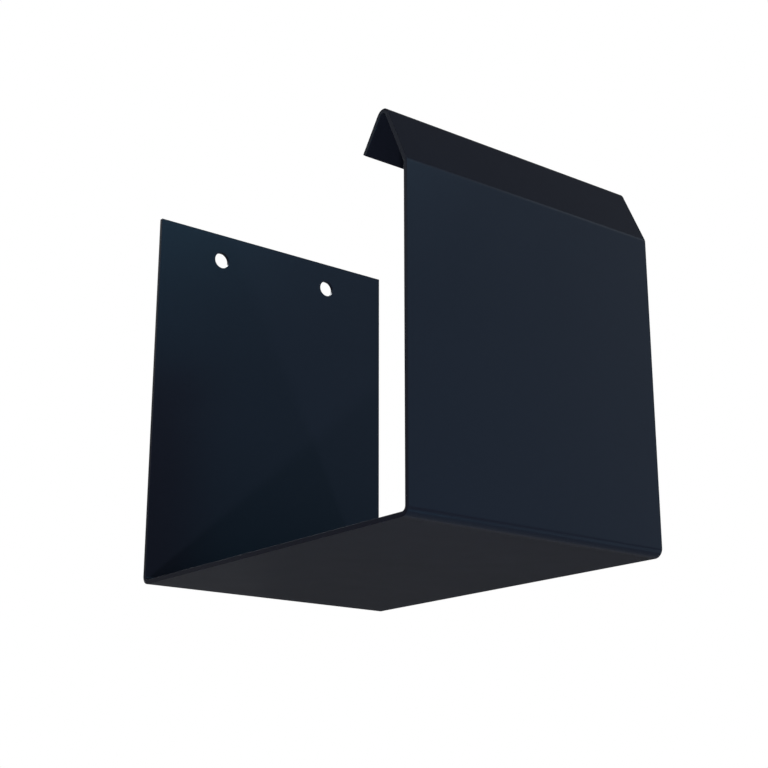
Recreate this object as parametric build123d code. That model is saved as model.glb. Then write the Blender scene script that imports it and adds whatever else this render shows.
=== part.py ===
from build123d import *
import math
import os

# Gutter joint strap: one strip of aluminium sheet, folded on a press brake into a
# trough that goes round the outside of two box gutters where their ends meet.
# The back plate is screwed to the fascia board, the base carries the gutters' floors,
# and the front plate runs up to a sloped return and a hook that grip their front lips.
#
# +X runs along the gutters, +Y points into the fascia board and +Z is up.
# The origin is on the fascia face, halfway between the two fixing holes.

# Sheet
strap_width = 100.0
sheet_thickness = 1.5
inside_bend_radius = 1.5

# Folded outline, measured between the sharp corners where the outer faces would meet
back_height = 134.0
base_depth = 143.0
front_height = 104.5
return_length = 25.5
return_slope = 65.0
hook_length = 17.5
hook_slope = 55.0

# Fixing holes in the back plate
hole_diameter = 6.0
hole_spacing = 48.0
hole_below_top = 10.0

# Levels and corners of the outer face, as (Y, Z) from the fixing holes
top_z = hole_below_top
underside_z = top_z - back_height
front_y = -base_depth
front_bend = (front_y, underside_z + front_height)
ridge = (
    front_bend[0] + return_length * math.cos(math.radians(return_slope)),
    front_bend[1] + return_length * math.sin(math.radians(return_slope)),
)
hook_end = (
    ridge[0] + hook_length * math.cos(math.radians(hook_slope)),
    ridge[1] - hook_length * math.sin(math.radians(hook_slope)),
)
outer_corners = [
    (0, top_z),
    (0, underside_z),
    (front_y, underside_z),
    front_bend,
    ridge,
    hook_end,
]


def fold_sheet():
    """Fold the strip along its outer face and carry that section across its width.

    Every bend turns the same way, so the sheet lies on the left of its outer face.
    """
    with BuildPart() as folded:
        with BuildSketch(Plane.YZ):
            with BuildLine():
                FilletPolyline(*outer_corners, radius=inside_bend_radius + sheet_thickness)
                offset(amount=sheet_thickness, side=Side.LEFT)
            make_face()
        extrude(amount=strap_width / 2, both=True)
    return folded.part


def drill_fixing_holes(folded):
    """Drill two plain screw holes side by side through the back plate alone."""
    with BuildPart() as drilled:
        add(folded)
        with Locations(Plane.XZ):
            with GridLocations(hole_spacing, 0, 2, 1):
                Hole(radius=hole_diameter / 2, depth=2 * sheet_thickness)
    return drilled.part


joint_strap = drill_fixing_holes(fold_sheet())

os.makedirs("parts", exist_ok=True)
export_step(joint_strap, "parts/joint_strap.step")
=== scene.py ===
import math

import bmesh
import bpy
from mathutils import Matrix, Vector


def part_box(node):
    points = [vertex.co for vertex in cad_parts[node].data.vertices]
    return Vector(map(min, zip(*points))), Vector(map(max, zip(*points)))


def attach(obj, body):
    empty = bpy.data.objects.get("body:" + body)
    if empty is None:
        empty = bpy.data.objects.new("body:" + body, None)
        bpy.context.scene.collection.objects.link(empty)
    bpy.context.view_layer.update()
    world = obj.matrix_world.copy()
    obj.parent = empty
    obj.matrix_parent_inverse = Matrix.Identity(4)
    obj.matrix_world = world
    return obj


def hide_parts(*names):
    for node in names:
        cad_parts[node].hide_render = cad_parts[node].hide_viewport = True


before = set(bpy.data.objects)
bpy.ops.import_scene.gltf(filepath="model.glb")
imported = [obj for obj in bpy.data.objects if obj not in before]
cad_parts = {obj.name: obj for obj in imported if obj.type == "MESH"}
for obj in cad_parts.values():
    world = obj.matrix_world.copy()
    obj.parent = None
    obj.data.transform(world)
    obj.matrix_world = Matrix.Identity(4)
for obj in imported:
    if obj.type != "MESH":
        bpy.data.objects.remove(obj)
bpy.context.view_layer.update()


# The folded strap
# One strip of 1.5 mm aluminium, cut square and folded four times on a press brake, every
# fold the same way. It is folded here as it is there, along its outer face.

sheet = 0.0015
inside_bend = 0.0015
outside_bend = inside_bend + sheet
bend_steps_per_turn = 64
low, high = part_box("joint_strap")
front_height = 0.1045
return_length = 0.0255
return_slope = math.radians(65)
hook_length = 0.0175
hook_slope = math.radians(55)
square = math.radians(90)
back_plate = (high.z - low.z, square)
base = (high.y - low.y, square)
front_plate = (front_height, square - return_slope)
sloped_return = (return_length, return_slope + hook_slope)
hook = (hook_length, 0)

strap = bmesh.new()
start = [strap.verts.new((x, high.y, high.z)) for x in (low.x, high.x)]
leading_edge = strap.edges.new(start)
heading = Vector((0, 0, -1))
used = 0
for length, turn in (back_plate, base, front_plate, sloped_return, hook):
    setback = outside_bend * math.tan(turn / 2)
    flat = bmesh.ops.extrude_edge_only(strap, edges=[leading_edge])["geom"]
    moved = [g for g in flat if isinstance(g, bmesh.types.BMVert)]
    bmesh.ops.translate(strap, verts=moved, vec=heading * (length - used - setback))
    leading_edge = strap.edges.get(moved)
    if turn:
        inward = Matrix.Rotation(-square, 3, "X") @ heading
        bent = bmesh.ops.spin(
            strap,
            geom=moved + [leading_edge],
            cent=moved[0].co + inward * outside_bend,
            axis=(1, 0, 0),
            angle=-turn,
            steps=round(bend_steps_per_turn * turn / math.tau),
        )["geom_last"]
        leading_edge = next(g for g in bent if isinstance(g, bmesh.types.BMEdge))
        heading = Matrix.Rotation(-turn, 3, "X") @ heading
    used = setback

# The fixing holes
# Two plain 6 mm screw holes side by side near the back plate's top edge, punched before
# the strip is folded and coated.

hole_radius = 0.003
hole_spacing = 0.048
hole_below_top = 0.010
hole_segments = 64

strap.faces.ensure_lookup_table()
back_face = strap.faces[0]
outline = list(back_face.edges)
bmesh.ops.delete(strap, geom=[back_face], context="FACES_ONLY")
for side in (-1, 1):
    centre = Vector((side * hole_spacing / 2, high.y, high.z - hole_below_top))
    rim = bmesh.ops.create_circle(
        strap,
        radius=hole_radius,
        segments=hole_segments,
        matrix=Matrix.Translation(centre) @ Matrix.Rotation(square, 4, "X"),
    )["verts"]
    outline += {edge for vertex in rim for edge in vertex.link_edges}
bmesh.ops.triangle_fill(strap, edges=outline, use_beauty=True)

# Thickness and edges
# The sheet lies inside its outer face. Its cut edges are dulled before coating, so the
# coat runs round a small radius there.

edge_radius = 0.00008
edge_segments = 3
cut_edge_turn = math.radians(45)

bmesh.ops.recalc_face_normals(strap, faces=strap.faces)
bmesh.ops.solidify(strap, geom=strap.faces[:], thickness=sheet)
bmesh.ops.recalc_face_normals(strap, faces=strap.faces)
cut_edges = [e for e in strap.edges if e.calc_face_angle(0) > cut_edge_turn]
bmesh.ops.bevel(
    strap,
    geom=cut_edges,
    offset=edge_radius,
    offset_type="OFFSET",
    segments=edge_segments,
    profile=0.5,
    affect="EDGES",
    material=-1,
)
for face in strap.faces:
    face.smooth = True
strap_mesh = bpy.data.meshes.new("coated_strap")
strap.to_mesh(strap_mesh)
strap.free()
coated_strap = bpy.data.objects.new("coated_strap", strap_mesh)
bpy.context.scene.collection.objects.link(coated_strap)
flat_plates = coated_strap.modifiers.new("flat plates", "WEIGHTED_NORMAL")
flat_plates.mode = "FACE_AREA"

# The powder coat
# Satin anthracite polyester powder, baked on. It flows into a very fine orange peel, and its tone
# and gloss drift a little over the sheet.
# The sheared end edges are painted darker: painted shade, which holds back the light the low left
# softbox throws on them.

coat_tone = (0.0084, 0.0102, 0.0176, 1)
coat_tone_light = (0.0090, 0.0109, 0.0186, 1)
# Painted shade: a darker colour for the sheared end edges, where the lamps light them more.
painted_shade_at_cut_edges = (0.0070, 0.0062, 0.0115, 1)
coat_reflection = (0.06, 0.58, 1.0, 1)
coat_reflection_level = 0.095
coat_roughness_range = (0.205, 0.240)
tone_patches_per_metre = 22
gloss_patches_per_metre = 55
peel_waves_per_metre = 420
peel_grains_per_metre = 1500
tone_detail = 3
gloss_detail = 2
peel_detail = 1
usual_drift = (0.3, 0.7)
peel_height = 0.0000012
grain_share = 0.35

coat = bpy.data.materials.new("anthracite_powder_coat")
coat.use_nodes = True
nodes = coat.node_tree.nodes
links = coat.node_tree.links
shader = nodes["Principled BSDF"]
shader.inputs["Specular IOR Level"].default_value = coat_reflection_level
shader.inputs["Specular Tint"].default_value = coat_reflection
place = nodes.new("ShaderNodeTexCoord")


def drift(per_metre, detail):
    """A smooth random pattern over the sheet, with so many patches to the metre."""
    noise = nodes.new("ShaderNodeTexNoise")
    noise.inputs["Scale"].default_value = per_metre
    noise.inputs["Detail"].default_value = detail
    links.new(place.outputs["Object"], noise.inputs["Vector"])
    return noise.outputs["Fac"]


tone = nodes.new("ShaderNodeMix")
tone.data_type = "RGBA"
tone.inputs["A"].default_value = coat_tone
tone.inputs["B"].default_value = coat_tone_light
links.new(drift(tone_patches_per_metre, tone_detail), tone.inputs["Factor"])

across = nodes.new("ShaderNodeSeparateXYZ")
links.new(place.outputs["Object"], across.inputs[0])
from_middle = nodes.new("ShaderNodeMath")
from_middle.operation = "ABSOLUTE"
links.new(across.outputs["X"], from_middle.inputs[0])
# Painted shade: the end faces at either end of the strap get the darker colour.
painted_shade_mask = nodes.new("ShaderNodeMath")
painted_shade_mask.operation = "GREATER_THAN"
painted_shade_mask.inputs[1].default_value = high.x - edge_radius / 2
links.new(from_middle.outputs[0], painted_shade_mask.inputs[0])
tone_with_painted_shade = nodes.new("ShaderNodeMix")
tone_with_painted_shade.data_type = "RGBA"
tone_with_painted_shade.inputs["B"].default_value = painted_shade_at_cut_edges
links.new(painted_shade_mask.outputs[0], tone_with_painted_shade.inputs["Factor"])
links.new(tone.outputs["Result"], tone_with_painted_shade.inputs["A"])
links.new(tone_with_painted_shade.outputs["Result"], shader.inputs["Base Color"])

gloss = nodes.new("ShaderNodeMapRange")
gloss.inputs["From Min"].default_value = usual_drift[0]
gloss.inputs["From Max"].default_value = usual_drift[1]
gloss.inputs["To Min"].default_value = coat_roughness_range[0]
gloss.inputs["To Max"].default_value = coat_roughness_range[1]
links.new(drift(gloss_patches_per_metre, gloss_detail), gloss.inputs["Value"])
links.new(gloss.outputs["Result"], shader.inputs["Roughness"])

peel_mix = nodes.new("ShaderNodeMix")
peel_mix.inputs["Factor"].default_value = grain_share
links.new(drift(peel_waves_per_metre, peel_detail), peel_mix.inputs["A"])
links.new(drift(peel_grains_per_metre, peel_detail), peel_mix.inputs["B"])
peel = nodes.new("ShaderNodeBump")
peel.inputs["Distance"].default_value = peel_height
links.new(peel_mix.outputs["Result"], peel.inputs["Height"])
links.new(peel.outputs["Normal"], shader.inputs["Normal"])
strap_mesh.materials.append(coat)

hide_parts("joint_strap")
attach(coated_strap, "root")

# The floor
# A plain pale matt floor, well below the strap because the photograph looks up at its
# underside. The camera sees it brighter than the lamps leave it at that distance.

floor_drop = 0.7
floor_half_size = 32.0
floor_white = (0.8, 0.8, 0.8, 1)
floor_roughness = 1.0
floor_reflection_level = 0
floor_lift = 0.5

floor_build = bmesh.new()
bmesh.ops.create_grid(
    floor_build,
    x_segments=1,
    y_segments=1,
    size=floor_half_size,
    matrix=Matrix.Translation((0, 0, low.z - floor_drop)),
)
floor_mesh = bpy.data.meshes.new("floor")
floor_build.to_mesh(floor_mesh)
floor_build.free()
floor = bpy.data.objects.new("floor", floor_mesh)
bpy.context.scene.collection.objects.link(floor)
floor_paint = bpy.data.materials.new("pale_floor")
floor_paint.use_nodes = True
floor_nodes = floor_paint.node_tree.nodes
floor_links = floor_paint.node_tree.links
floor_shader = floor_nodes["Principled BSDF"]
floor_shader.inputs["Base Color"].default_value = floor_white
floor_shader.inputs["Roughness"].default_value = floor_roughness
floor_shader.inputs["Specular IOR Level"].default_value = floor_reflection_level
floor_shader.inputs["Emission Color"].default_value = floor_white
floor_ray = floor_nodes.new("ShaderNodeLightPath")
lift = floor_nodes.new("ShaderNodeMath")
lift.operation = "MULTIPLY"
lift.inputs[1].default_value = floor_lift
floor_links.new(floor_ray.outputs["Is Camera Ray"], lift.inputs[0])
floor_links.new(lift.outputs[0], floor_shader.inputs["Emission Strength"])
floor_mesh.materials.append(floor_paint)

# The studio's surround
# White all round for the camera. In reflections it has a dim ceiling, which the sloped return
# mirrors, and a dim panel low on the back left, which the sheared edges mirror. Elsewhere it
# gives only a little soft light.

surround_white = (1, 1, 1, 1)
surround_strength = 1.0
ceiling_tilt = math.radians(6)
ceiling_axis = Vector((0, math.sin(ceiling_tilt), math.cos(ceiling_tilt)))
ceiling_strength = 0.16
ceiling_begins = math.sin(math.radians(30))
ceiling_full = math.sin(math.radians(36))
panel_axis = Vector((-0.55, 0.83, 0.0)).normalized()
panel_strength = 0.34
panel_begins = math.cos(math.radians(26))
panel_full = math.cos(math.radians(13))
soft_strength = 0.05

studio = bpy.data.worlds.new("studio")
studio.use_nodes = True
bpy.context.scene.world = studio
world_nodes = studio.node_tree.nodes
world_links = studio.node_tree.links


def world_math(operation, first, second):
    """One value worked out from two, as a world node's output."""
    node = world_nodes.new("ShaderNodeMath")
    node.operation = operation
    world_links.new(first, node.inputs[0])
    world_links.new(second, node.inputs[1])
    return node.outputs[0]


def dimmed_towards(axis, begins, full, strength):
    """The surround's strength, which falls to the given one as a direction nears an axis."""
    nearness = world_nodes.new("ShaderNodeVectorMath")
    nearness.operation = "DOT_PRODUCT"
    nearness.inputs[1].default_value = axis
    world_links.new(direction.outputs["Generated"], nearness.inputs[0])
    fall = world_nodes.new("ShaderNodeMapRange")
    fall.inputs["From Min"].default_value = begins
    fall.inputs["From Max"].default_value = full
    fall.inputs["To Min"].default_value = surround_strength
    fall.inputs["To Max"].default_value = strength
    world_links.new(nearness.outputs["Value"], fall.inputs["Value"])
    return fall.outputs["Result"]


soft_light = world_nodes["Background"]
soft_light.inputs["Color"].default_value = surround_white
soft_light.inputs["Strength"].default_value = soft_strength
ray = world_nodes.new("ShaderNodeLightPath")
direction = world_nodes.new("ShaderNodeTexCoord")
ceiling = dimmed_towards(ceiling_axis, ceiling_begins, ceiling_full, ceiling_strength)
panel = dimmed_towards(panel_axis, panel_begins, panel_full, panel_strength)
surround = world_nodes.new("ShaderNodeBackground")
surround.inputs["Color"].default_value = surround_white
mirrored = world_math("MINIMUM", ceiling, panel)
brightness = world_math("MAXIMUM", mirrored, ray.outputs["Is Camera Ray"])
world_links.new(brightness, surround.inputs["Strength"])
seen = world_math("MAXIMUM", ray.outputs["Is Camera Ray"], ray.outputs["Is Glossy Ray"])
seen = world_math("MAXIMUM", seen, ray.outputs["Is Transmission Ray"])
sky = world_nodes.new("ShaderNodeMixShader")
world_links.new(seen, sky.inputs[0])
world_links.new(soft_light.outputs[0], sky.inputs[1])
world_links.new(surround.outputs[0], sky.inputs[2])
world_links.new(sky.outputs[0], world_nodes["World Output"].inputs["Surface"])

# The studio's lamps
# Softboxes in front, low on the left and behind light the plates. Two small low lamps draw the
# base's soft shadow lines on the back plate. The cards are dim: two on the right put the light
# lines on the front bends, and one low behind lightens the underside's left corner.

strap_middle = (low + high) / 2
far = 1.5
near = 0.9
wide_softbox = (1.1, 0.7)
softbox = (0.7, 0.7)
small_lamp = (0.036, 0.036)
small_card = (0.2, 0.2)
tall_card = (0.2, 0.35)
wide_card = (0.6, 0.5)


def add_lamp(name, towards, distance, size, watts):
    """A soft rectangular lamp at a distance from the strap's middle, turned to face it."""
    lamp_data = bpy.data.lights.new(name, "AREA")
    lamp_data.shape = "RECTANGLE"
    lamp_data.size, lamp_data.size_y = size
    lamp_data.energy = watts
    lamp = bpy.data.objects.new(name, lamp_data)
    lamp.visible_camera = False
    away = Vector(towards).normalized()
    lamp.location = strap_middle + away * distance
    lamp.rotation_euler = (-away).to_track_quat("-Z", "Y").to_euler()
    bpy.context.scene.collection.objects.link(lamp)


add_lamp("front_softbox", towards=(0.16, -0.75, 0.64), distance=far, size=wide_softbox, watts=10.0)
add_lamp("low_left_softbox", towards=(-0.84, -0.48, -0.26), distance=far, size=softbox, watts=9.5)
add_lamp("back_top_softbox", towards=(0, 0.75, 0.66), distance=far, size=softbox, watts=11.0)
add_lamp("small_left_lamp", towards=(-1, -1.4, -0.92), distance=near, size=small_lamp, watts=2.1)
add_lamp("small_right_lamp", towards=(1, -1.8, -1.8), distance=near, size=small_lamp, watts=1.8)
add_lamp("upper_right_card", towards=(0.62, -0.45, 0.64), distance=near, size=small_card, watts=0.14)
add_lamp("lower_right_card", towards=(0.685, -0.6, -0.41), distance=near, size=tall_card, watts=0.25)
add_lamp("low_back_card", towards=(0.34, 0.92, -0.18), distance=far, size=wide_card, watts=0.02)

# The camera
# It stands at the photograph's viewpoint, low in front and to the left, and looks up at the
# underside.

eye_left = 0.2958
eye_in_front = 0.4463
eye_below_base = 0.0839
eye = Vector((-eye_left, -eye_in_front, low.z - eye_below_base))
turned_right = math.radians(38.061)
tilted_up = math.radians(17.145)
lens_millimetres = 70
film_millimetres = 36

camera_data = bpy.data.cameras.new("camera")
camera_data.lens = lens_millimetres
camera_data.sensor_width = film_millimetres
camera = bpy.data.objects.new("camera", camera_data)
camera.location = eye
camera.rotation_euler = (square + tilted_up, 0, -turned_right)
bpy.context.scene.collection.objects.link(camera)
bpy.context.scene.camera = camera
bpy.context.scene.view_settings.view_transform = "Standard"
